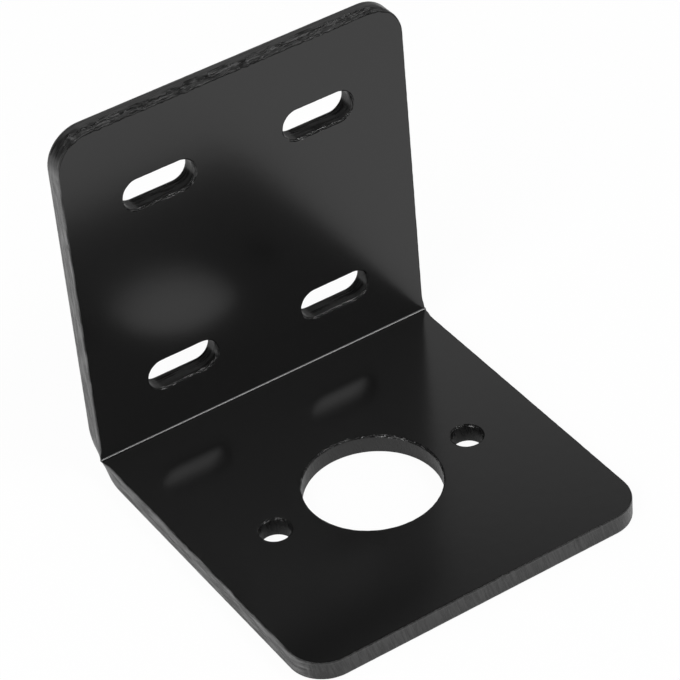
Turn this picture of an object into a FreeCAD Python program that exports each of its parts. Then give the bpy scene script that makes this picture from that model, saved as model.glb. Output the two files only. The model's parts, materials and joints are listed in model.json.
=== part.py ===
import FreeCAD, Part
import os
import Sketcher
from enum import IntEnum
from FreeCAD import Placement, Rotation, Vector

# Motor mounting bracket
#
# A rectangle of steel sheet, holed and folded once to a right angle. The base carries the motor:
# a bore for its pilot, with a screw hole on each side. The upright is bolted to a frame through
# four slots. X runs along the bend, +Y points back to the upright and +Z up. The origin is on the
# underside, in the middle of the width and of the depth. Lengths are in millimetres.

doc = FreeCAD.newDocument("MotorBracket")


# Driving sizes

SIZES = [
    ("width", 72.0, "length of the bend, left to right"),
    ("base_depth", 75.0, "front edge of the base to the back face of the upright"),
    ("upright_height", 75.0, "underside of the base to the top edge of the upright"),
    ("sheet_thickness", 4.0, "thickness of the sheet"),
    ("bend_inner_radius", 1.0, "inside of the bend"),
    ("bend_outer_radius", 6.5, "outside of the bend, where the sheet has thinned a little"),
    ("corner_radius", 7.0, "free corners of the base and of the upright"),
    ("edge_rounding", 0.25, "soft edge all round the sheet"),
    ("rim_chamfer", 0.18, "broken edge at both ends of every hole"),
    ("bore_diameter", 26.0, "hole for the pilot of the motor"),
    ("bore_to_back", 40.0, "motor axis to the back face of the upright"),
    ("screw_hole_diameter", 6.0, "holes for the screws of the motor"),
    ("screw_spacing", 42.0, "between the two screw holes"),
    ("slot_length", 15.0, "slot, over its round ends"),
    ("slot_width", 6.4, "slot, across"),
    ("slot_spacing_across", 33.5, "between the slot centres of a row"),
    ("slot_spacing_up", 41.0, "between the slot centres of a column"),
    ("slot_row_height", 17.0, "underside to the centres of the lower row"),
    ("swell", 0.6, "how far each end of the bend bulges out at its inner face"),
    ("swell_reach", 2.7, "half the length of that bulge"),
    ("draw_in", 1.0, "how far each end of the bend draws in at its outer face"),
    ("draw_in_reach", 4.7, "half the length of that hollow"),
]

sheet = doc.addObject("Spreadsheet::Sheet", "Sizes")
for row, (alias, size, meaning) in enumerate(SIZES, start=1):
    sheet.set(f"A{row}", alias)
    sheet.set(f"B{row}", str(size))
    sheet.set(f"C{row}", meaning)
    sheet.setAlias(f"B{row}", alias)
doc.recompute()


# Places that several features share, as formulas on the sheet

HALF_WIDTH = "Sizes.width / 2"
BACK = "Sizes.base_depth / 2"
INNER_FACE = "(Sizes.base_depth / 2 - Sizes.sheet_thickness)"
BORE_FORWARD = "(Sizes.bore_to_back - Sizes.base_depth / 2)"
HALF_SCREW_SPACING = "Sizes.screw_spacing / 2"
HALF_SLOT_SPACING = "Sizes.slot_spacing_across / 2"
LOWER_ROW = "Sizes.slot_row_height"
UPPER_ROW = "(Sizes.slot_row_height + Sizes.slot_spacing_up)"
SLOT_STRAIGHT = "(Sizes.slot_length - Sizes.slot_width)"

# How a sketch numbers the points of an edge, and its own origin

START, END, CENTRE = IntEnum("Point", "START END CENTRE")
ORIGIN = (-1, START)

TOUCH = 1e-6
SHARP_ANGLE = 0.5


def value(formula):
    """The number that a formula on the sheet comes to."""
    return float(sheet.evalExpression(formula))


def add_feature(body, kind, label):
    feature = body.newObject(kind, label.replace(" ", ""))
    feature.Label = label
    return feature


def origin_plane(body, role):
    for element in body.Origin.OriginFeatures:
        if element.Role == role:
            return element
    raise ValueError(f"no origin plane {role}")


class Outline:
    """A sketch of closed outlines, drawn edge by edge, with sizes that follow the sheet."""

    def __init__(self, body, role, label):
        self.sketch = add_feature(body, "Sketcher::SketchObject", label)
        self.sketch.AttachmentSupport = [(origin_plane(body, role), "")]
        self.sketch.MapMode = "FlatFace"

    def start(self, x, y):
        self.at = Vector(x, y, 0)
        self.ends = []

    def line_to(self, x, y):
        """A straight edge. One that is level or upright is kept so."""
        end = Vector(x, y, 0)
        edge = self.sketch.addGeometry(Part.LineSegment(self.at, end))
        if abs(end.x - self.at.x) < TOUCH:
            self.constrain("Vertical", edge)
        elif abs(end.y - self.at.y) < TOUCH:
            self.constrain("Horizontal", edge)
        return self.follow(edge, START, END, "Coincident", end)

    def arc_to(self, x, y, centre_x, centre_y, clockwise=False):
        """A round edge that runs smoothly into its neighbours."""
        end = Vector(x, y, 0)
        centre = Vector(centre_x, centre_y, 0)
        circle = Part.Circle(centre, Vector(0, 0, 1), (end - centre).Length)
        if clockwise:
            arc = Part.ArcOfCircle(circle, circle.parameter(end), circle.parameter(self.at))
            return self.follow(self.sketch.addGeometry(arc), END, START, "Tangent", end)
        arc = Part.ArcOfCircle(circle, circle.parameter(self.at), circle.parameter(end))
        return self.follow(self.sketch.addGeometry(arc), START, END, "Tangent", end)

    def follow(self, edge, near, far, joint, end):
        """Join a new edge to the one before it."""
        if self.ends:
            self.join(self.ends[-1], (edge, near, far, joint))
        self.ends.append((edge, near, far, joint))
        self.at = end
        return edge

    def join(self, before, after):
        joint = "Tangent" if "Tangent" in (before[3], after[3]) else "Coincident"
        self.constrain(joint, before[0], before[2], after[0], after[1])

    def close(self):
        self.join(self.ends[-1], self.ends[0])

    def circle(self, x, y, diameter):
        edge = self.sketch.addGeometry(Part.Circle(Vector(x, y, 0), Vector(0, 0, 1), value(diameter) / 2))
        self.bind(diameter, "Diameter", edge)
        return edge

    def constrain(self, kind, *where):
        return self.sketch.addConstraint(Sketcher.Constraint(kind, *where))

    def bind(self, formula, kind, *where):
        """A constraint whose size follows a formula on the sheet."""
        index = self.constrain(kind, *where, value(formula))
        self.sketch.setExpression(f"Constraints[{index}]", formula)

    def finished(self):
        """The sketch, once it is sure that its sizes leave nothing free."""
        self.sketch.recompute()
        if not self.sketch.FullyConstrained:
            raise ValueError(f"{self.sketch.Label} is not fully constrained")
        return self.sketch


def extrude(body, label, outline, length):
    """A pad to both sides of the middle plane."""
    pad = add_feature(body, "PartDesign::Pad", label)
    pad.Profile = outline.finished()
    pad.Midplane = True
    pad.setExpression("Length", length)
    doc.recompute()


def cut(body, label, outline, upwards=False):
    """Cut an outline through the leg that lies behind its plane, or above it."""
    before = body.Shape.Volume
    pocket = add_feature(body, "PartDesign::Pocket", label)
    pocket.Profile = outline.finished()
    pocket.Type = "ThroughAll"
    pocket.Reversed = upwards
    doc.recompute()
    if body.Shape.Volume > before - TOUCH:
        raise ValueError(f"{label} cuts nothing")
    return pocket


def mirror(body, label, feature):
    """The same feature on the other side of the middle plane."""
    mirrored = add_feature(body, "PartDesign::Mirrored", label)
    mirrored.Originals = [feature]
    mirrored.MirrorPlane = (origin_plane(body, "YZ_Plane"), [""])
    body.Tip = mirrored
    doc.recompute()


def finish_edges(body, label, kind, wanted, size):
    """Round or bevel each edge of the solid that a test picks out."""
    base = body.Tip
    edges = enumerate(base.Shape.Edges, start=1)
    names = [f"Edge{number}" for number, edge in edges if wanted(base.Shape, edge)]
    finish = add_feature(body, f"PartDesign::{kind}", label)
    finish.Base = (base, names)
    finish.setExpression("Radius" if kind == "Fillet" else "Size", size)
    doc.recompute()


# The folded sheet is its section across the bend, extruded over the width

def folded_section(body):
    front = -value(BACK)
    back = value(BACK)
    face = value(INNER_FACE)
    top = value("Sizes.upright_height")
    thick = value("Sizes.sheet_thickness")
    inner = value("Sizes.bend_inner_radius")
    outer = value("Sizes.bend_outer_radius")

    section = Outline(body, "YZ_Plane", "Folded section")
    section.start(front, 0)
    underside = section.line_to(back - outer, 0)
    outside = section.arc_to(back, outer, back - outer, outer)
    section.line_to(back, top)
    top_edge = section.line_to(face, top)
    section.line_to(face, thick + inner)
    inside = section.arc_to(face - inner, thick, face - inner, thick + inner, clockwise=True)
    section.line_to(front, thick)
    front_edge = section.line_to(front, 0)
    section.close()

    section.constrain("Horizontal", underside, START, *ORIGIN)
    section.bind(BACK, "DistanceX", underside, START, *ORIGIN)
    section.bind("Sizes.base_depth", "DistanceX", front_edge, END, top_edge, START)
    section.bind("Sizes.upright_height", "DistanceY", underside, START, top_edge, START)
    section.bind("Sizes.sheet_thickness", "DistanceX", top_edge, END, top_edge, START)
    section.bind("Sizes.sheet_thickness", "DistanceY", front_edge, END, front_edge, START)
    section.bind("Sizes.bend_outer_radius", "Radius", outside)
    section.bind("Sizes.bend_inner_radius", "Radius", inside)
    return section


# The ends of the bend. Folding squeezes the inside of the sheet out along the bend and draws its
# outside in. So the bend is made over long, and a form lofted between two sections of the end
# face trims it: one section is clear of the inside of the bend and one is clear of its outside.
#
# Places are measured along the diagonal of the fold, from the line where the two inner faces
# would meet. The diagonal crosses the bend from BEND_INSIDE to BEND_OUTSIDE. Nearer to the legs
# the bulge has died away before it reaches the inner faces, at REACH_MEETS_FACE.

BEND_INSIDE = "(Sizes.bend_inner_radius * (sqrt(2) - 1))"
BEND_OUTSIDE = "(Sizes.bend_outer_radius * (sqrt(2) - 1) - Sizes.sheet_thickness * sqrt(2))"
REACH_SLOPE = f"((Sizes.draw_in_reach - Sizes.swell_reach) / ({BEND_INSIDE} - {BEND_OUTSIDE}))"
REACH_MEETS_FACE = f"((Sizes.swell_reach + {REACH_SLOPE} * {BEND_INSIDE}) / (1 + {REACH_SLOPE}))"
SECTION_CLEARANCE = "(Sizes.sheet_thickness / 20)"
INNER_SECTION = f"({REACH_MEETS_FACE} + {SECTION_CLEARANCE})"
OUTER_SECTION = f"({BEND_OUTSIDE} - {SECTION_CLEARANCE})"


def along_diagonal(at_inside, at_outside, place):
    """A size that changes evenly from the inside of the bend to its outside, at one place."""
    share = f"(({place} - {BEND_OUTSIDE}) / ({BEND_INSIDE} - {BEND_OUTSIDE}))"
    return f"({at_outside} + ({at_inside} - {at_outside}) * {share})"


def bulge_at(place):
    return along_diagonal("Sizes.swell", "(0 - Sizes.draw_in)", place)


def reach_at(place):
    return along_diagonal("Sizes.swell_reach", "Sizes.draw_in_reach", place)


OVER_LENGTH = bulge_at(INNER_SECTION)
LEG = f"({INNER_SECTION} * sqrt(2))"
HALF_FORM = f"(Sizes.sheet_thickness * sqrt(2) + 2 * {INNER_SECTION})"


def bend_section(body):
    """The bend with a short stretch of each leg, cut off along the inner section."""
    back = value(BACK)
    face = value(INNER_FACE)
    thick = value("Sizes.sheet_thickness")
    inner = value("Sizes.bend_inner_radius")
    outer = value("Sizes.bend_outer_radius")
    leg = value(LEG)

    bend = Outline(body, "YZ_Plane", "Bend section")
    bend.start(face - leg - thick, 0)
    underside = bend.line_to(back - outer, 0)
    outside = bend.arc_to(back, outer, back - outer, outer)
    bend.line_to(back, thick + leg + thick)
    upper_cut = bend.line_to(face, thick + leg)
    bend.line_to(face, thick + inner)
    inside = bend.arc_to(face - inner, thick, face - inner, thick + inner, clockwise=True)
    bend.line_to(face - leg, thick)
    lower_cut = bend.line_to(face - leg - thick, 0)
    bend.close()

    bend.constrain("Horizontal", underside, START, *ORIGIN)
    bend.bind(BACK, "DistanceX", *ORIGIN, upper_cut, START)
    bend.bind(LEG, "DistanceX", lower_cut, START, upper_cut, END)
    bend.bind(f"Sizes.sheet_thickness + {LEG}", "DistanceY", *ORIGIN, upper_cut, END)
    for end_cut in (upper_cut, lower_cut):
        bend.bind("Sizes.sheet_thickness", "DistanceX", end_cut, END, end_cut, START)
        bend.bind("Sizes.sheet_thickness", "DistanceY", end_cut, END, end_cut, START)
    bend.bind("Sizes.bend_outer_radius", "Radius", outside)
    bend.bind("Sizes.bend_inner_radius", "Radius", inside)
    return bend


def end_face_section(body, label, place):
    """What is trimmed off, in a plane square to the diagonal. Three arcs make the bulge."""
    bulge_formula = bulge_at(place)
    reach_formula = reach_at(place)
    radius_formula = f"({reach_formula} ^ 2 + {bulge_formula} ^ 2) / (4 * abs({bulge_formula}))"
    flat = value(HALF_WIDTH)
    beyond = value(f"{HALF_WIDTH} + 2 * {OVER_LENGTH}")
    top = value(HALF_FORM)
    bulge = value(bulge_formula)
    reach = value(reach_formula)
    outward = bulge > 0
    turn = value(radius_formula) if outward else -value(radius_formula)

    form = Outline(body, "XY_Plane", label)
    form.sketch.AttachmentOffset = Placement(Vector(), Rotation(Vector(1, 0, 0), 45))
    form.sketch.setExpression("AttachmentOffset.Base.y", f"{INNER_FACE} - {place} / sqrt(2)")
    form.sketch.setExpression("AttachmentOffset.Base.z", f"Sizes.sheet_thickness + {place} / sqrt(2)")
    form.start(flat, -top)
    below = form.line_to(flat, -reach)
    rise = form.arc_to(flat + bulge / 2, -reach / 2, flat + turn, -reach, clockwise=outward)
    crest = form.arc_to(flat + bulge / 2, reach / 2, flat + bulge - turn, 0, clockwise=not outward)
    fall = form.arc_to(flat, reach, flat + turn, reach, clockwise=outward)
    above = form.line_to(flat, top)
    upper = form.line_to(beyond, top)
    form.line_to(beyond, -top)
    form.line_to(flat, -top)
    form.close()

    form.constrain("Equal", rise, crest)
    form.constrain("Equal", crest, fall)
    form.bind(radius_formula, "Radius", crest)
    form.bind(HALF_WIDTH, "DistanceX", *ORIGIN, below, START)
    form.bind(HALF_WIDTH, "DistanceX", *ORIGIN, above, START)
    form.bind(f"2 * {OVER_LENGTH}", "DistanceX", upper, START, upper, END)
    form.bind(HALF_FORM, "DistanceY", below, START, *ORIGIN)
    form.bind(HALF_FORM, "DistanceY", *ORIGIN, above, END)
    form.bind(reach_formula, "DistanceY", below, END, *ORIGIN)
    form.bind(reach_formula, "DistanceY", *ORIGIN, above, START)
    return form


def shape_bend_ends(body):
    extrude(body, "Over long bend", bend_section(body), f"2 * ({HALF_WIDTH} + {OVER_LENGTH})")
    inner_section = end_face_section(body, "End face inside the bend", INNER_SECTION)
    outer_section = end_face_section(body, "End face outside the bend", OUTER_SECTION)
    trim = add_feature(body, "PartDesign::SubtractiveLoft", "Right end of the bend")
    trim.Profile = inner_section.finished()
    trim.Sections = [outer_section.finished()]
    trim.Ruled = True
    doc.recompute()
    mirror(body, "Left end of the bend", trim)


# The holes for the motor, in the base

def cut_motor_bore(body):
    bore = Outline(body, "XY_Plane", "Bore outline")
    rim = bore.circle(0, -value(BORE_FORWARD), "Sizes.bore_diameter")
    bore.constrain("Vertical", rim, CENTRE, *ORIGIN)
    bore.bind(BORE_FORWARD, "DistanceY", rim, CENTRE, *ORIGIN)
    cut(body, "Motor bore", bore, upwards=True)


def cut_screw_holes(body):
    hole = Outline(body, "XY_Plane", "Screw hole outline")
    rim = hole.circle(value(HALF_SCREW_SPACING), -value(BORE_FORWARD), "Sizes.screw_hole_diameter")
    hole.bind(HALF_SCREW_SPACING, "DistanceX", *ORIGIN, rim, CENTRE)
    hole.bind(BORE_FORWARD, "DistanceY", rim, CENTRE, *ORIGIN)
    mirror(body, "Left screw hole", cut(body, "Right screw hole", hole, upwards=True))


# The slots for the bolts to the frame, in the upright

def draw_slot(column, height_formula):
    x = value(HALF_SLOT_SPACING)
    z = value(height_formula)
    half = value(SLOT_STRAIGHT) / 2
    radius = value("Sizes.slot_width") / 2
    column.start(x - half, z - radius)
    column.line_to(x + half, z - radius)
    right = column.arc_to(x + half, z + radius, x + half, z)
    column.line_to(x - half, z + radius)
    left = column.arc_to(x - half, z - radius, x - half, z)
    column.close()
    column.bind("Sizes.slot_width / 2", "Radius", right)
    column.bind(SLOT_STRAIGHT, "DistanceX", left, CENTRE, right, CENTRE)
    column.bind(f"{HALF_SLOT_SPACING} - {SLOT_STRAIGHT} / 2", "DistanceX", *ORIGIN, left, CENTRE)
    column.bind(height_formula, "DistanceY", *ORIGIN, left, CENTRE)


def cut_slots(body):
    column = Outline(body, "XZ_Plane", "Column of slots")
    for row_height in (LOWER_ROW, UPPER_ROW):
        draw_slot(column, row_height)
    mirror(body, "Left slots", cut(body, "Right slots", column))


# Rounded corners, then the soft edge that the paint and the press leave round the sheet, and the
# broken edges of the holes

def is_free_corner(shape, edge):
    """An edge square through the sheet, at an end of the base's front or of the upright's top."""
    box = edge.BoundBox
    at_side = box.XLength < TOUCH and abs(box.Center.x) > value(HALF_WIDTH) - TOUCH
    at_front = box.YLength < TOUCH and box.YMin < TOUCH - value(BACK)
    at_top = box.ZLength < TOUCH and box.ZMin > value("Sizes.upright_height") - TOUCH
    return at_side and (at_front or at_top)


def normal_at(face, point):
    u, v = face.Surface.parameter(point)
    return face.normalAt(u, v)


def is_rim(shape, edge):
    """An edge round a hole: it bounds some face, and isn't in that face's outer outline."""
    for face in shape.ancestorsOfType(edge, Part.Face):
        if not any(edge.isSame(outer) for outer in face.OuterWire.Edges):
            return True
    return False


def is_outer_edge(shape, edge):
    """An edge of the sheet itself, where two faces meet at a clear angle and not smoothly."""
    faces = shape.ancestorsOfType(edge, Part.Face)
    if len(faces) < 2 or is_rim(shape, edge):
        return False
    point = edge.valueAt((edge.FirstParameter + edge.LastParameter) / 2)
    return normal_at(faces[0], point).getAngle(normal_at(faces[1], point)) > SHARP_ANGLE


def make_bracket():
    body = doc.addObject("PartDesign::Body", "Bracket")
    body.Label = "motor_bracket"
    extrude(body, "Folded sheet", folded_section(body), "Sizes.width")
    shape_bend_ends(body)
    cut_motor_bore(body)
    cut_screw_holes(body)
    cut_slots(body)
    finish_edges(body, "Free corners", "Fillet", is_free_corner, "Sizes.corner_radius")
    finish_edges(body, "Soft edges", "Fillet", is_outer_edge, "Sizes.edge_rounding")
    finish_edges(body, "Broken rims", "Chamfer", is_rim, "Sizes.rim_chamfer")
    return body


bracket = make_bracket()

for item in doc.Objects:
    if "Invalid" in item.State or "Error" in item.State:
        raise ValueError(f"{item.Label} failed")
if bracket.Shape.isNull() or not bracket.Shape.isValid() or len(bracket.Shape.Solids) != 1:
    raise ValueError(f"{bracket.Label} is not one sound solid")

os.makedirs("parts", exist_ok=True)
bracket.Shape.exportStep(f"parts/{bracket.Label}.step")
print(f"{bracket.Label}: {bracket.Shape.Volume:.0f} cubic millimetres")
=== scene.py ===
# %% [markdown]
# # A motor mounting bracket of black painted sheet steel
#
# The real bracket is one strip of 4 mm steel, folded once to a right angle. The leg
# that lies flat carries a motor: a large bore for its nose and a screw hole on each
# side. The leg that stands up is bolted to a wall through four slots. Everything is
# painted gloss black after the cutting, so the paint also lies in the cut edges, where
# it shows the streaks that the shear and the punch left.
#
# The bracket is drawn here as a sheet metal worker would make it: a strip, a fold,
# rounded corners, punched holes, broken rims. The finish, the camera and the studio
# come after that.

# %% The frame from the CAD model
import json
import math

import bmesh
import bpy
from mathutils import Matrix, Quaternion, Vector, noise


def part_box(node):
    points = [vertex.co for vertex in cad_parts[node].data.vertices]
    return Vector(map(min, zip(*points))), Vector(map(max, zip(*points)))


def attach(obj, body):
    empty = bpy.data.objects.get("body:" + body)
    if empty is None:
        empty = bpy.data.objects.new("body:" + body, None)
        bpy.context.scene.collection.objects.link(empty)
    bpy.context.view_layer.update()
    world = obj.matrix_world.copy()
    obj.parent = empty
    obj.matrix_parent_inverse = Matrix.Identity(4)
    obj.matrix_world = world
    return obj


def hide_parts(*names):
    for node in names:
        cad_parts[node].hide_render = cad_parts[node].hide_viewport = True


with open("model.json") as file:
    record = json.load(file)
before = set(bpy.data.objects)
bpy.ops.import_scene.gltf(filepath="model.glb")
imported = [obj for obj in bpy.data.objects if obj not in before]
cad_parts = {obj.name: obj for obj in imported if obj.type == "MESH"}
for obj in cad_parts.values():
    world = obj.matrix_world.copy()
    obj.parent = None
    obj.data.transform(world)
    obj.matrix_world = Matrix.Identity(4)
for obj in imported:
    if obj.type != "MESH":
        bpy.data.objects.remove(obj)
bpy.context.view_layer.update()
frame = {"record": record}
scene = bpy.context.scene

# %% [markdown]
# ## Sizes
#
# A folded part has few driving sizes. Its front, back and top and the places of the holes
# are asked from the frame, so that these can't drift away from the CAD. The rest are the
# width, the sheet's thickness and its radii. X runs along the fold, Y to the wall, Z up.

# %% The driving sizes
MM = 0.001
low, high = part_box("motor_bracket")
FRONT, BACK, TOP = low.y, high.y, high.z
WIDTH = 72 * MM
SHEET = 4 * MM
BEND_OUTSIDE = 6.5 * MM
CORNER = 7 * MM
RIM = 0.28 * MM
FOLD_STEPS = 40

inner_face = BACK - SHEET
fold_y, fold_z = BACK - BEND_OUTSIDE, BEND_OUTSIDE
mounts = {mount["name"]: mount for mount in frame["record"]["mounts"]}
bore, screws, slots = (mounts[name] for name in ("motor_bore", "motor_screws", "wall_slots"))
print("base", round((BACK - FRONT) / MM, 2), "mm deep, upright", round(TOP / MM, 2), "mm high")

# %% [markdown]
# ## Working in edit mode
#
# Blender's modelling operators act on whatever is selected. By hand one clicks, and in
# a script one has to say which corners, edges or faces are meant. These two helpers do
# that for the whole lesson: one opens a piece for editing, the other selects by a test
# on the place or the direction of each item.

# %% Open a piece, and select in it
def edit(piece):
    """Leave everything else alone and open one piece in edit mode."""
    bpy.ops.object.select_all(action="DESELECT")
    piece.select_set(True)
    bpy.context.view_layer.objects.active = piece
    bpy.ops.object.mode_set(mode="EDIT")


def select(kind, wanted):
    """Select the verts, edges or faces of the open piece that pass a test."""
    kinds = ("verts", "edges", "faces")
    bpy.context.tool_settings.mesh_select_mode = [kind == one for one in kinds]
    bpy.ops.mesh.select_all(action="DESELECT")
    mesh = bmesh.from_edit_mesh(bpy.context.object.data)
    chosen = [item for item in getattr(mesh, kind) if wanted(item)]
    for item in chosen:
        item.select_set(True)
    mesh.select_flush_mode()
    bmesh.update_edit_mesh(bpy.context.object.data)
    return len(chosen)

# %% [markdown]
# ## The folded strip
#
# A folded sheet could be drawn as an L and given a thickness, but then the outside of
# the fold would have to be a copy of its inside. On the real part it isn't: the outside
# is a wide soft arc and the inside is nearly sharp. So the strip starts as its own front
# edge, a face 72 by 4 mm, which is pulled back to the fold, spun a quarter turn round
# the centre of the outer arc, and pulled up to the top. The negative angle turns it
# upwards.

# %% Pull, spin and pull
bpy.ops.object.select_all(action="DESELECT")
bpy.ops.mesh.primitive_plane_add(
    size=1, location=(0, FRONT, SHEET / 2), rotation=(math.pi / 2, 0, 0)
)
bracket = bpy.context.object
bracket.name = "painted_bracket"
bracket.scale = (WIDTH, SHEET, 1)
bpy.ops.object.transform_apply(location=True, rotation=True, scale=True)

edit(bracket)
bpy.ops.mesh.select_all(action="SELECT")
bpy.ops.mesh.extrude_region_move(TRANSFORM_OT_translate={"value": (0, fold_y - FRONT, 0)})
bpy.ops.mesh.spin(
    steps=FOLD_STEPS, angle=-math.pi / 2, center=(0, fold_y, fold_z), axis=(1, 0, 0)
)
bpy.ops.mesh.extrude_region_move(TRANSFORM_OT_translate={"value": (0, 0, TOP - fold_z)})
print(len(bmesh.from_edit_mesh(bracket.data).faces), "faces after the fold")

# %% [markdown]
# ## The inside of the fold
#
# The spin has made the inside of the fold an arc of 2.5 mm, as thick steel bent round a
# soft tool would have. The real one is pressed much sharper: a narrow hollow that meets
# both faces in a faint crease. It catches a thin bright line from end to end with a dark
# line beside it, so its shape shows. Each pair of inner corners is moved from the arc to
# the pressed corner. A quarter of them stays on each straight face, and the others share
# the hollow, a piece of a circle that starts and ends at the angles of the two creases.

# %% Press the corner sharp
PRESS_RADIUS = 1.05 * MM
BASE_CREASE, UPRIGHT_CREASE = math.radians(16), math.radians(55)


def pressed(share):
    """A point on the inside of the fold, as y and z, for a share of the way round."""
    turn = BASE_CREASE + (UPRIGHT_CREASE - BASE_CREASE) * min(max(share * 2 - 0.5, 0), 1)
    forward = PRESS_RADIUS * (math.sin(UPRIGHT_CREASE) - math.sin(turn))
    upward = PRESS_RADIUS * (math.cos(BASE_CREASE) - math.cos(turn))
    straight = BEND_OUTSIDE - SHEET
    forward += (straight - forward) * max(1 - share * 4, 0)
    upward += (straight - upward) * max(share * 4 - 3, 0)
    return inner_face - forward, SHEET + upward


for step in range(1, FOLD_STEPS):
    angle = step * math.pi / 2 / FOLD_STEPS
    arc = BEND_OUTSIDE - SHEET
    y, z = fold_y + arc * math.sin(angle), fold_z - arc * math.cos(angle)
    select("verts", lambda v: math.hypot(v.co.y - y, v.co.z - z) < 1e-6)
    to_y, to_z = pressed(step / FOLD_STEPS)
    bpy.ops.transform.translate(value=(0, to_y - y, to_z - z))

bpy.ops.mesh.select_all(action="SELECT")
bpy.ops.mesh.normals_make_consistent(inside=False)
middle = pressed(0.5)
print("middle of the corner, in mm from the two faces:",
      [round(c / MM, 2) for c in (inner_face - middle[0], middle[1] - SHEET)])

# %% [markdown]
# ## Rounded corners
#
# The four free corners are cut to a 7 mm radius so that no point sticks out. They are
# the four short edges that run through the sheet at the front of the base and at the top
# of the upright. An edge bevel with enough segments is the round corner.

# %% Round the four free corners
def is_free_corner(edge):
    """True for an edge through the sheet at the far end of a leg."""
    a, b = (corner.co for corner in edge.verts)
    if abs(a.x) < WIDTH / 2 - 1e-6 or abs(b.x) < WIDTH / 2 - 1e-6:
        return False
    at_front = max(a.y, b.y) < FRONT + 1e-6 and abs(a.z - b.z) > 1e-6
    at_top = min(a.z, b.z) > TOP - 1e-6 and abs(a.y - b.y) > 1e-6
    return at_front or at_top


print(select("edges", is_free_corner), "corners rounded")
bpy.ops.mesh.bevel(affect="EDGES", offset=CORNER, segments=16, clamp_overlap=False)
bpy.ops.object.mode_set(mode="OBJECT")

# %% [markdown]
# ## Holes and slots
#
# A punch goes straight through, so the tools are solids in the shape of the holes: a
# drum for the bore, two thin drums for the screws, and for each slot a block whose four
# long edges are bevelled until its ends are round. They are joined to one tool, which an
# exact boolean takes out of the sheet in one stroke.

# %% Make the punches
punches = []


def drum(x, radius, sides):
    """A round punch standing in the base."""
    bpy.ops.mesh.primitive_cylinder_add(
        vertices=sides, radius=radius, depth=2 * SHEET, location=(x, bore["pos_m"][1], SHEET / 2)
    )
    punches.append(bpy.context.object)


def slot_punch(x, z, length, radius):
    """A block through the upright with its ends made round."""
    bpy.ops.mesh.primitive_cube_add(size=1, location=(x, BACK - SHEET / 2, z))
    block = bpy.context.object
    block.scale = (length, 2 * SHEET, 2 * radius)
    bpy.ops.object.transform_apply(location=True, rotation=True, scale=True)
    edit(block)
    select("edges", lambda e: abs(e.verts[0].co.y - e.verts[1].co.y) > SHEET)
    bpy.ops.mesh.bevel(affect="EDGES", offset=radius * 0.9999, segments=20, clamp_overlap=False)
    bpy.ops.object.mode_set(mode="OBJECT")
    punches.append(block)


drum(0, bore["dims"]["r_mm"] * MM, 128)
for side in (-1, 1):
    drum(side * screws["dims"]["spacing_x_mm"] * MM / 2, screws["dims"]["hole_r_mm"] * MM, 64)
    for row in (-1, 1):
        slot_punch(
            side * slots["dims"]["spacing_x_mm"] * MM / 2,
            slots["pos_m"][2] + row * slots["dims"]["spacing_y_mm"] * MM / 2,
            slots["dims"]["slot_length_mm"] * MM,
            slots["dims"]["hole_r_mm"] * MM,
        )
print(len(punches), "punches")

# %% Punch the sheet
bpy.ops.object.select_all(action="DESELECT")
for punch in punches:
    punch.select_set(True)
bpy.context.view_layer.objects.active = punches[0]
bpy.ops.object.join()
tool = bpy.context.object
bpy.ops.object.transform_apply(location=True, rotation=True, scale=True)

bpy.ops.object.select_all(action="DESELECT")
bracket.select_set(True)
bpy.context.view_layer.objects.active = bracket
stroke = bracket.modifiers.new("punched_holes", "BOOLEAN")
stroke.solver = "EXACT"
stroke.object = tool
bpy.ops.object.modifier_apply(modifier=stroke.name)
bpy.data.objects.remove(tool)
print(len(bracket.data.polygons), "faces after the punching")

# %% [markdown]
# ## Broken rims
#
# No cut edge stays razor sharp: it is tumbled or brushed before painting, and the paint
# rounds it further. A bevel of 0.28 mm with three segments runs along every sharp edge.
# It is small, but each rim catches its own line of light or dark, which is what tells
# the eye that the sheet is thick.

# %% Break every sharp edge
def is_sharp(edge):
    """True where two faces meet at more than 60 degrees."""
    return len(edge.link_faces) == 2 and edge.calc_face_angle() > math.radians(60)


edit(bracket)
rims = select("edges", is_sharp)
bpy.ops.mesh.bevel(affect="EDGES", offset=RIM, segments=3, clamp_overlap=False)
print(rims, "sharp edges broken")

# %% [markdown]
# ## Smaller faces where the sheet was cut
#
# The cut faces will bulge at the fold and carry marks, so they need corners to move:
# every half millimetre along the outline, twice as often along the torn top edge, and
# ten rows through the sheet. The wide flat faces stay as they are. Edges that run along
# a cut are halved until they are short enough. Those that run through the sheet are
# divided once, into ten.

# %% Divide the cut faces
def through(place):
    """The direction through the sheet, from its inside to its outside."""
    if place.y > fold_y and place.z < fold_z:
        return Vector((0, place.y - fold_y, place.z - fold_z)).normalized()
    return Vector((0, 0, -1)) if place.y <= fold_y else Vector((0, 1, 0))


def on_cut(face):
    """True for a face of the cut outline, a hole's wall or a rim."""
    middle = face.calc_center_median()
    if middle.y > fold_y and middle.z < fold_z:
        return abs(face.normal.x) > 0.25
    return abs(face.normal @ through(middle)) < 0.97


def steepness(edge):
    """1 for an edge that runs through the sheet, 0 for one that runs along it."""
    a, b = (corner.co for corner in edge.verts)
    return abs((b - a).normalized() @ through((a + b) / 2))


def long_along_cut(edge):
    """True for an edge along a cut that is longer than the marks need."""
    at_top = edge.verts[0].co.z > TOP - MM
    return (
        edge.calc_length() > (0.25 if at_top else 0.5) * MM
        and steepness(edge) < 0.2
        and any(on_cut(face) for face in edge.link_faces)
    )


def through_cut(edge):
    """True for an edge of a cut face that crosses the sheet."""
    crosses = edge.calc_length() > 2 * MM and steepness(edge) > 0.9
    return crosses and all(map(on_cut, edge.link_faces))


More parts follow.
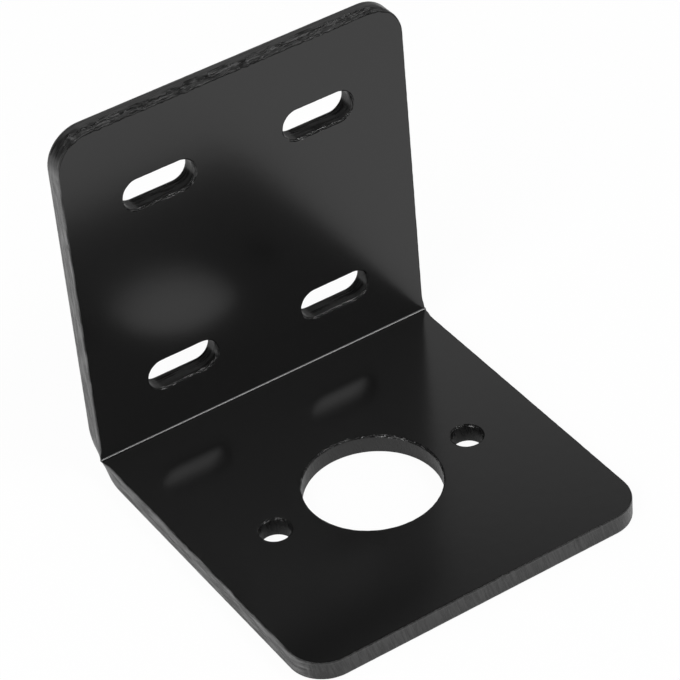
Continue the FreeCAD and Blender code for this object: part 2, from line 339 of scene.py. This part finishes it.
while select("edges", long_along_cut):
    bpy.ops.mesh.subdivide(number_cuts=1)
select("edges", through_cut)
bpy.ops.mesh.subdivide(number_cuts=9)
cut_mesh = bmesh.from_edit_mesh(bracket.data)
print(len(cut_mesh.verts), "corners,", sum(len(f.verts) - 2 for f in cut_mesh.faces), "triangles")
print(sum(len(e.link_faces) != 2 for e in cut_mesh.edges), "open edges")

# %% [markdown]
# ## The unfolded strip
#
# A sheet metal worker thinks of the part as it lay flat: so far across, so far along and
# so deep into the sheet. In those measures the wear of an edge is easy to describe, and
# it follows the sheet round the fold by itself.

# %% Where a corner lies on the flat strip
FOLD_LENGTH = BEND_OUTSIDE * math.pi / 2
STRIP_END = (FOLD_LENGTH + TOP - fold_z) / MM


def unfold(place):
    """Across, along and deep, in mm: deep is 0 on the inside of the fold."""
    if place.y <= fold_y:
        along, depth = place.y - fold_y, SHEET - place.z
    elif place.z >= fold_z:
        along, depth = FOLD_LENGTH + place.z - fold_z, place.y - inner_face
    else:
        turn = math.atan2(place.y - fold_y, fold_z - place.z)
        inside = (BEND_OUTSIDE - SHEET) / max(math.sin(turn), math.cos(turn))
        away = math.hypot(place.y - fold_y, fold_z - place.z)
        along, depth = BEND_OUTSIDE * turn, SHEET * (away - inside) / (BEND_OUTSIDE - inside)
    return Vector((place.x, along, depth)) / MM


def in_base_hole(place):
    """True on the walls of the bore and the screw holes."""
    aside, screw_radius = screws["dims"]["spacing_x_mm"] / 2, screws["dims"]["hole_r_mm"]
    holes = [(0, bore["dims"]["r_mm"]), (-aside, screw_radius), (aside, screw_radius)]
    x, y = place.x / MM, (place.y - bore["pos_m"][1]) / MM
    away = [math.hypot(x - hole_x, y) - radius for hole_x, radius in holes]
    return place.y <= fold_y and min(away) < 1


def in_slot(place):
    """True on the walls of the slots."""
    between_edges = abs(place.x) < WIDTH / 2 - CORNER and place.z < TOP - CORNER / 2
    return place.z > fold_z and between_edges


print("the strip was", round((fold_y - FRONT) / MM + STRIP_END, 1), "mm long before the fold")

# %% [markdown]
# ## The ends of the fold
#
# When steel is folded, the squeezed inside bulges out at both ends of the fold and the
# stretched outside draws in. On this bracket it is easy to see from the side: the end
# face leans so much there that it almost disappears. There is no operator for it, so the
# corners of the end faces are moved sideways in code, by a smooth wave along the strip
# that changes from a bulge on the inside to a hollow on the outside. The swell and the
# draw-in are lengths, and their reaches along the strip are in millimetres.

# %% Swell and draw in
SWELL, SWELL_REACH = 0.45 * MM, 6.5
DRAW_IN, DRAW_IN_REACH = 0.9 * MM, 8.0


def bulge(place):
    """How far a corner at the end of the fold is pushed out sideways."""
    across, along, deep = unfold(place)
    share = deep * MM / SHEET
    height = SWELL - (SWELL + DRAW_IN) * share
    reach = SWELL_REACH + (DRAW_IN_REACH - SWELL_REACH) * share
    away = min(abs(along - FOLD_LENGTH / MM / 2) / reach, 1)
    return height * (1 + math.cos(math.pi * away)) / 2


ends = [v for v in cut_mesh.verts if abs(v.co.x) > WIDTH / 2 - RIM - 1e-5]
pushed = [v for v in ends if abs(bulge(v.co)) > 1e-7]
for corner in pushed:
    corner.co.x += bulge(corner.co) * math.copysign(1, corner.co.x)
bmesh.update_edit_mesh(bracket.data)
bpy.ops.object.mode_set(mode="OBJECT")
print(len(pushed), "corners moved at the ends of the fold")

# %% [markdown]
# ## Torn and nicked edges
#
# A shear cuts only part of the way through thick steel, then the rest breaks off. Along
# the top edge of this bracket the broken band lies next to the inside face: it is lower
# than the cut band behind it, lumpy, and wanders in width. The other edges were cut
# cleaner and have a slight unevenness and a few nicks from handling. Everything is moved
# within the plane of the sheet only, into the steel, so the two big faces stay flat.

# %% Tear the edges
TEAR, TEAR_LUMPS, UNEVEN = 0.08, 0.16, 0.02  # all in mm, as the places of the nicks
NICK_DEPTH, NICK_RADIUS = 0.2, 0.7
NICKS = [
    *((-36, 57, 0.5), (-36, -27, 0.3), (-36, -50, 0.4)),
    *((-4, -68.5, 0.2), (4, -68.5, 0.2), (20, -68.5, 0.3)),
    *((-18, STRIP_END, 0.3), (-9, STRIP_END, 0.2), (19, STRIP_END, 0.2), (22.5, STRIP_END, 0.3)),
]


def wander(*place):
    """Smooth noise from about -1 to 1, the same at every run."""
    return noise.fractal(Vector(place), 1.0, 2.0, 3)


def ease(value):
    """The value, kept between 0 and 1."""
    return min(max(value, 0.0), 1.0)


def nick(place, middle):
    """How deep one nick is at a place, in mm."""
    return NICK_DEPTH * ease(1 - (place - Vector(middle)).length / NICK_RADIUS)


def tear(place):
    """How far the steel is missing at a place on the strip, in mm."""
    across, along, deep = place
    band = 1.7 + 1.1 * wander(across * 0.3, 3.0, 0.0)
    broken = ease((band - deep) / 0.5) * ease((along - STRIP_END + 2.2) / 1.2)
    lumps = 0.4 + 1.2 * wander(across * 1.1, along * 1.1, deep * 2.0)
    near_rim = ease(1 - deep / 0.5)
    rough_rim = UNEVEN * (1 + near_rim) * wander(across * 0.8, along * 0.8, deep * 0.5 + 9)
    nicks = sum(nick(place, middle) for middle in NICKS)
    return broken * (TEAR + TEAR_LUMPS * max(lumps, 0)) + rough_rim + nicks


edit(bracket)
cut_mesh = bmesh.from_edit_mesh(bracket.data)
moves = []
for corner in cut_mesh.verts:
    walls = [face.normal for face in corner.link_faces if on_cut(face)]
    if walls:
        outwards, sheet_way = sum(walls, Vector()), through(corner.co)
        outwards = (outwards - sheet_way * (outwards @ sheet_way)).normalized()
        moves.append((corner, outwards * -tear(unfold(corner.co)) * MM))
for corner, move in moves:
    corner.co += move
print("deepest tear", round(max(move.length for _, move in moves) / MM, 2), "mm")

# %% [markdown]
# ## Telling the paint where the sheet was cut
#
# The finish has to know three things that no coordinate tells it: which faces were cut,
# which way the streaks run on them, and which of them are walls of holes. At the sides
# and in the slots the streaks run along the cut, in the round holes and at the front of
# the base they run through the sheet. The marks are kept on the corners as attributes,
# together with the place on the unfolded strip, so that a streak follows the sheet
# round the fold and round every hole.

# %% Mark the cut faces
def marks_through(place):
    """1 where the marks run through the sheet: in the base's holes and at its front."""
    return float(in_base_hole(place)) or ease((FRONT + 4 * MM - place.y) / (2 * MM))


names = ("cut", "marks_through", "hole_wall")
cut, grain, hole = (cut_mesh.verts.layers.float.new(name) for name in names)
unfolded = cut_mesh.verts.layers.float_vector.new("unfolded")
cut_mesh = bmesh.from_edit_mesh(bracket.data)
for corner in cut_mesh.verts:
    corner[cut] = float(all(map(on_cut, corner.link_faces)))
    corner[grain] = marks_through(corner.co)
    corner[hole] = float(in_base_hole(corner.co) or in_slot(corner.co))
    corner[unfolded] = unfold(corner.co)
print(round(sum(corner[cut] for corner in cut_mesh.verts)), "corners are on cut faces")
bmesh.update_edit_mesh(bracket.data)
bpy.ops.object.mode_set(mode="OBJECT")

# %% [markdown]
# ## Even shading
#
# The rims have to blend into the flat faces without a crease, and the flat faces have to
# stay flat to the eye. Smooth shading alone would bend the light across the whole face,
# because each corner's normal is an average. Weighting that average by the area of the
# faces leaves the big ones straight and puts all the turning into the rims.

# %% Smooth, with the big faces leading
bpy.ops.object.shade_smooth()
even = bracket.modifiers.new("even_faces", "WEIGHTED_NORMAL")
even.mode = "FACE_AREA"
even.weight = 50
bpy.ops.object.modifier_apply(modifier=even.name)
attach(bracket, "root")
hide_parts("motor_bracket")
print("own normals:", bracket.data.has_custom_normals)

# %% [markdown]
# ## Wiring nodes in code
#
# A material is a small network. This helper adds one node and fills its sockets in
# order: another node's output is linked, a number or colour is set, None is left alone.

# %% Add and wire a node
def add(tree, kind, *inputs, **settings):
    """Add a node to a tree, give it its settings and fill its sockets in order."""
    node = tree.nodes.new(kind)
    for name, value in settings.items():
        setattr(node, name, value)
    for socket, value in zip(node.inputs, inputs):
        if isinstance(value, bpy.types.NodeSocket):
            tree.links.new(value, socket)
        elif value is not None:
            socket.default_value = value
    return node

# %% [markdown]
# ## Black paint
#
# Gloss black paint is nearly black, smooth and a little wavy on the flat faces. In the
# cut edges the same paint lies thin over the tool's streaks. It is rougher there, its
# mirror image is torn into light and dark threads, and on the ridges the grey of the
# steel begins to show. One material does both, steered by the marks on the corners. Its
# streaks are a noise that is stretched along the strip, and another that is stretched
# through the sheet with a slight slant.

# %% Streaks of the shear and the punch
paint = bpy.data.materials.new("black_paint")
paint.use_nodes = True
coat = paint.node_tree


def mark(name, output="Fac"):
    """One of the marks that were kept on the corners."""
    return add(coat, "ShaderNodeAttribute", attribute_name=name).outputs[output]


strip = mark("unfolded", "Vector")
cut_here, through_sheet, in_hole = (mark(name) for name in names)


def streaks(size, turn=0.0, detail=3.0):
    """Noise on the flat strip, with grains of a size in mm, in a slant of some degrees."""
    slant = (0, math.radians(turn), 0)
    stretched = add(coat, "ShaderNodeMapping", strip, None, slant, size, vector_type="TEXTURE")
    grains = add(coat, "ShaderNodeTexNoise", stretched.outputs[0])
    grains.inputs["Scale"].default_value = 1.0
    grains.inputs["Detail"].default_value = detail
    return grains.outputs["Fac"]


def blend(factor, a, b):
    """A number between a and b."""
    return add(coat, "ShaderNodeMix", factor, None, a, b).outputs[0]


def calculate(operation, *values):
    """One step of arithmetic."""
    return add(coat, "ShaderNodeMath", *values, operation=operation).outputs[0]


def spread(value, low, high, to_low, to_high):
    """Stretch the part of a value from low to high over a new range."""
    return add(coat, "ShaderNodeMapRange", value, low, high, to_low, to_high).outputs[0]


lengthwise = streaks((5.0, 5.0, 0.6))
crosswise = streaks((0.4, 0.4, 5.0), turn=15)
threads = blend(through_sheet, lengthwise, crosswise)
print("two kinds of streaks")

# %% [markdown]
# ## The broken band and the chipped rims
#
# Along the top edge the broken steel begins where a wandering border says, and it is
# lumpy. All rims next to the inside face are ragged. At the holes they are chipped in
# longer pieces, which the punch left where it pushed in: they lean back, so the rim is
# dark and glints here and there.

# %% The band where the steel broke, and the rims
split = add(coat, "ShaderNodeSeparateXYZ", strip).outputs
along, deep = split["Y"], split["Z"]
border = spread(streaks((2.5, 2.5, 9.0), detail=4.0), 0.3, 0.7, 0.9, 2.7)
near_inside = spread(calculate("SUBTRACT", border, deep), -0.15, 0.15, 0.0, 1.0)
at_top = spread(along, STRIP_END - 1.8, STRIP_END - 1.0, 0.0, 1.0)
broken = calculate("MULTIPLY", near_inside, at_top)
# Towards the top end of the strip the cut faces show less grey steel: painted shade that keeps
# that end dark.
painted_top_shade = spread(along, STRIP_END - 7, STRIP_END - 5, 0.0, 1.0)
lumps = streaks((2.2, 2.2, 0.36), detail=3.0)
chips = spread(streaks((1.6, 1.6, 0.6), detail=2.0), 0.35, 0.65, 0.0, 1.0)
ragged = blend(in_hole, streaks((0.7, 0.7, 0.3), detail=2.0), chips)
print("the top edge lies", round(STRIP_END, 1), "mm along the strip")

# %% [markdown]
# ## From marks to paint
#
# All the marks are added up to one relief, whose depths are in millimetres, and the
# bump turns it into light and dark. The same marks say how rough the paint is and how
# much of the grey steel shows; towards the top end less grey is given, a painted shade
# that keeps that end dark. Away from the cuts only a faint orange peel is left.

# %% The relief of the cut faces
THREAD_DEPTH, TOP_THREAD_DEPTH, HOLE_THREAD_DEPTH = 0.08, 0.024, 0.052
LUMP_DEPTH, STEP = 0.21, -1.1
RAGGED_DEPTH, CHIP_DEPTH = 0.2, -0.3
HOLE_LEAN, BREAK_LEAN, PEEL_DEPTH = 0.17, 0.4, 0.004

thread_depth = blend(at_top, THREAD_DEPTH, TOP_THREAD_DEPTH)
thread_depth = blend(in_hole, thread_depth, HOLE_THREAD_DEPTH)
relief = calculate("MULTIPLY", threads, thread_depth)
leaning = calculate("MULTIPLY_ADD", deep, BREAK_LEAN, STEP)
leaning = calculate("MULTIPLY_ADD", lumps, LUMP_DEPTH, leaning)
relief = calculate("MULTIPLY_ADD", leaning, broken, relief)
flare = calculate("MULTIPLY", in_hole, deep)
relief = calculate("MULTIPLY_ADD", flare, HOLE_LEAN, relief)
at_rim = spread(deep, 0.1, 0.5, 1.0, 0.0)
rim_depth = blend(in_hole, RAGGED_DEPTH, CHIP_DEPTH)
relief = calculate("MULTIPLY_ADD", calculate("MULTIPLY", ragged, at_rim), rim_depth, relief)
peel = calculate("MULTIPLY", streaks((2.5, 2.5, 2.5), detail=1.0), PEEL_DEPTH)
bump = add(coat, "ShaderNodeBump")
bump.inputs["Distance"].default_value = MM
coat.links.new(blend(cut_here, peel, relief), bump.inputs["Height"])
print("relief: threads", THREAD_DEPTH, "mm, lumps", LUMP_DEPTH, "mm")

# %% Gloss and colour
FACE_ROUGHNESS, FACE_BLACK = 0.185, 0.005
STEEL_SHOWS, LITTLE_STEEL_AND_TOP_SHADE = 0.16, 0.035

gloss = coat.nodes["Principled BSDF"]
gloss.inputs["IOR"].default_value = 1.55
coat.links.new(bump.outputs["Normal"], gloss.inputs["Normal"])
rough_rim = blend(in_hole, 0.5, 0.15)
rough_cut = blend(at_rim, spread(threads, 0.3, 0.7, 0.2, 0.4), rough_rim)
rough_cut = blend(broken, rough_cut, 0.38)
coat.links.new(blend(cut_here, FACE_ROUGHNESS, rough_cut), gloss.inputs["Roughness"])
# Little grey where the marks run through the sheet, and towards the top end, where the low level
# is painted shade.
little_steel_and_top_shade = calculate("MAXIMUM", through_sheet, painted_top_shade)
steel_grey_and_top_shade = blend(little_steel_and_top_shade, STEEL_SHOWS, LITTLE_STEEL_AND_TOP_SHADE)
thin_paint_and_top_shade = spread(threads, 0.42, 0.7, 0.008, steel_grey_and_top_shade)
thin_paint_and_top_shade = blend(broken, thin_paint_and_top_shade, spread(lumps, 0.4, 0.6, 0.001, LITTLE_STEEL_AND_TOP_SHADE))
thin_paint_and_top_shade = blend(in_hole, thin_paint_and_top_shade, spread(threads, 0.3, 0.7, 0.005, 0.015))
coat.links.new(blend(cut_here, FACE_BLACK, thin_paint_and_top_shade), gloss.inputs["Base Color"])

bracket.data.materials.clear()
bracket.data.materials.append(paint)
print("painted", bracket.name, "with", len(coat.nodes), "nodes")

# %% [markdown]
# ## The camera
#
# The photograph looks down on the bracket from its front left, from far away with a
# long lens, so the parallel edges stay almost parallel. Azimuth and height of the
# camera, its roll and its distance were matched to the corners of the two legs.

# %% Camera at the photograph's angle
AIM = Vector((0.00075, 0.00561, 0.03158))
AZIMUTH, ELEVATION, ROLL = (math.radians(a) for a in (-29.96, 38.465, -5.436))
DISTANCE = 0.58566

towards_camera = Vector(
    (
        math.sin(AZIMUTH) * math.cos(ELEVATION),
        -math.cos(AZIMUTH) * math.cos(ELEVATION),
        math.sin(ELEVATION),
    )
)
camera = bpy.data.objects.new("camera", bpy.data.cameras.new("camera"))
camera.data.lens, camera.data.sensor_width = 174.11, 36
camera.location = AIM + towards_camera * DISTANCE
camera.rotation_mode = "QUATERNION"
look = (-towards_camera).to_track_quat("-Z", "Y")
camera.rotation_quaternion = look @ Quaternion((0, 0, 1), ROLL)
scene.collection.objects.link(camera)
scene.camera = camera
print("camera at", [round(c, 3) for c in camera.location])

# %% [markdown]
# ## The studio round the bracket
#
# Black gloss paint has hardly a colour of its own: what one sees is the room in it. In
# the photograph the base mirrors a pale wall behind it that ends about 40 degrees up,
# and above and in front it is dark. So the world has three faces. The steel is lit
# evenly from all round, at a plain level. The camera sees white. The mirror images show
# the pale wall at the back right, with its soft upper edge, as degrees up and levels.

# %% World: even light, a pale wall for the reflections
EVEN_LIGHT = 0.5
WALL = [(0, 0.35), (30, 0.42), (34, 0.5), (37, 0.76), (38.8, 0.83), (40.8, 0.58)]
WALL += [(43.7, 0.03), (90, 0.02)]
WALL_SIDE = (0.5, 0.866, 0.0)

world = bpy.data.worlds.new("studio")
scene.world = world
world.use_nodes = True
room = world.node_tree
room.nodes.clear()

background = add(room, "ShaderNodeBackground")
add(room, "ShaderNodeOutputWorld", background.outputs[0])
direction = add(room, "ShaderNodeTexCoord").outputs["Generated"]
height = add(room, "ShaderNodeSeparateXYZ", direction).outputs["Z"]
angle = add(room, "ShaderNodeMath", height, operation="ARCSINE").outputs[0]
share = add(room, "ShaderNodeMath", angle, math.pi / 2, operation="DIVIDE").outputs[0]
wall = add(room, "ShaderNodeValToRGB", share)
stops = wall.color_ramp.elements
stops[0].color, stops[1].color = (WALL[0][1],) * 3 + (1,), (WALL[-1][1],) * 3 + (1,)
for degrees, level in WALL[1:-1]:
    stops.new(degrees / 90).color = (level,) * 3 + (1,)
facing = add(room, "ShaderNodeVectorMath", direction, WALL_SIDE, operation="DOT_PRODUCT")
reach = add(room, "ShaderNodeMapRange", facing.outputs["Value"], 0.35, 0.6, 0.05, 1.0)
mirrored = add(
    room, "ShaderNodeMath", wall.outputs["Color"], reach.outputs["Result"], operation="MULTIPLY"
).outputs[0]
ray = add(room, "ShaderNodeLightPath").outputs
bent = ray["Is Glossy Ray"], ray["Is Transmission Ray"]
seen = add(room, "ShaderNodeMath", *bent, operation="MAXIMUM").outputs[0]
lit = add(room, "ShaderNodeMix", seen, None, EVEN_LIGHT, mirrored).outputs[0]
level = add(room, "ShaderNodeMix", ray["Is Camera Ray"], None, lit, 1.0).outputs[0]
room.links.new(level, background.inputs["Color"])
print("even light", EVEN_LIGHT, "- the wall ends", WALL[-2][0], "degrees up")

# %% [markdown]
# ## The floor
#
# The bracket stands on a plain pale floor. It is a matt surface that takes the light
# and the shadow. For the camera it glows almost to white, because the photograph has a
# white ground on which a shadow hardly shows. In the paint it is mirrored as the matt
# surface it is, with only a trace of the glow. It isn't part of the object.

# %% A pale floor
GLOW_SEEN, GLOW_MIRRORED = 0.95, 0.05

bpy.ops.object.select_all(action="DESELECT")
bpy.ops.mesh.primitive_plane_add(size=4, location=(0, 0, -0.2 * MM))
floor = bpy.context.object
floor.name = "floor"

pale = bpy.data.materials.new("pale_floor")
pale.use_nodes = True
ground = pale.node_tree
ground.nodes.clear()
matt = add(ground, "ShaderNodeBsdfDiffuse", (0.95, 0.95, 0.95, 1)).outputs[0]
white = add(ground, "ShaderNodeEmission", (1, 1, 1, 1), 1.0).outputs[0]
ray = add(ground, "ShaderNodeLightPath").outputs
bent = ray["Is Glossy Ray"], ray["Is Transmission Ray"]
mirror = add(ground, "ShaderNodeMath", *bent, operation="MAXIMUM").outputs[0]
part = add(ground, "ShaderNodeMath", mirror, GLOW_MIRRORED, operation="MULTIPLY").outputs[0]
eye = ray["Is Camera Ray"], GLOW_SEEN, part
part = add(ground, "ShaderNodeMath", *eye, operation="MULTIPLY_ADD").outputs[0]
glow = add(ground, "ShaderNodeMixShader", part, matt, white).outputs[0]
add(ground, "ShaderNodeOutputMaterial", glow)
floor.data.materials.append(pale)
print("floor", floor.dimensions.x, "m wide")

# %% [markdown]
# ## The lamps
#
# Three soft boxes are enough. The narrow one over the front is what the inside of the
# fold mirrors as a thin bright line from end to end. The wide dim one below it is
# mirrored twice, first in one leg and then in the other, which lifts the dark zones of
# both legs a little and evenly. The key light comes from the left: it lights the cut
# faces there, and it shades the floor under the bore, whose mirror image is the soft
# pale spot on the upright. Heights are given in degrees over the front, for the
# directions that the fold mirrors into the camera.

# %% Three soft boxes
def soft_box(name, direction, size, radiance, distance=1.0):
    """A lit rectangle that faces the fold, as bright as its radiance says."""
    lamp = bpy.data.lights.new(name, "AREA")
    lamp.shape = "RECTANGLE"
    lamp.size, lamp.size_y = size
    lamp.energy = radiance * size[0] * size[1] * math.pi
    box = bpy.data.objects.new(name, lamp)
    scene.collection.objects.link(box)
    direction = Vector(direction).normalized()
    box.location = Vector((0, inner_face, SHEET)) + direction * distance
    box.rotation_mode = "QUATERNION"
    box.rotation_quaternion = (-direction).to_track_quat("-Z", "Y")
    print(name, "shines with", round(lamp.energy, 2), "W")
    return box


def in_front(above):
    """The direction that mirrors into the camera, at a height in degrees over the front."""
    side = -towards_camera.x
    flat = math.sqrt(1 - side**2)
    return side, -flat * math.cos(math.radians(above)), flat * math.sin(math.radians(above))


soft_box("wide_in_front", in_front(44), (0.7, 0.42), 1.7, distance=1.5)
soft_box("over_the_front", in_front(60), (0.6, 0.17), 14.0, distance=1.5)
soft_box("from_the_left", (-0.62, -0.3, 0.72), (0.4, 0.4), 7.0)

# %% A plain view transform
scene.view_settings.view_transform = "Standard"
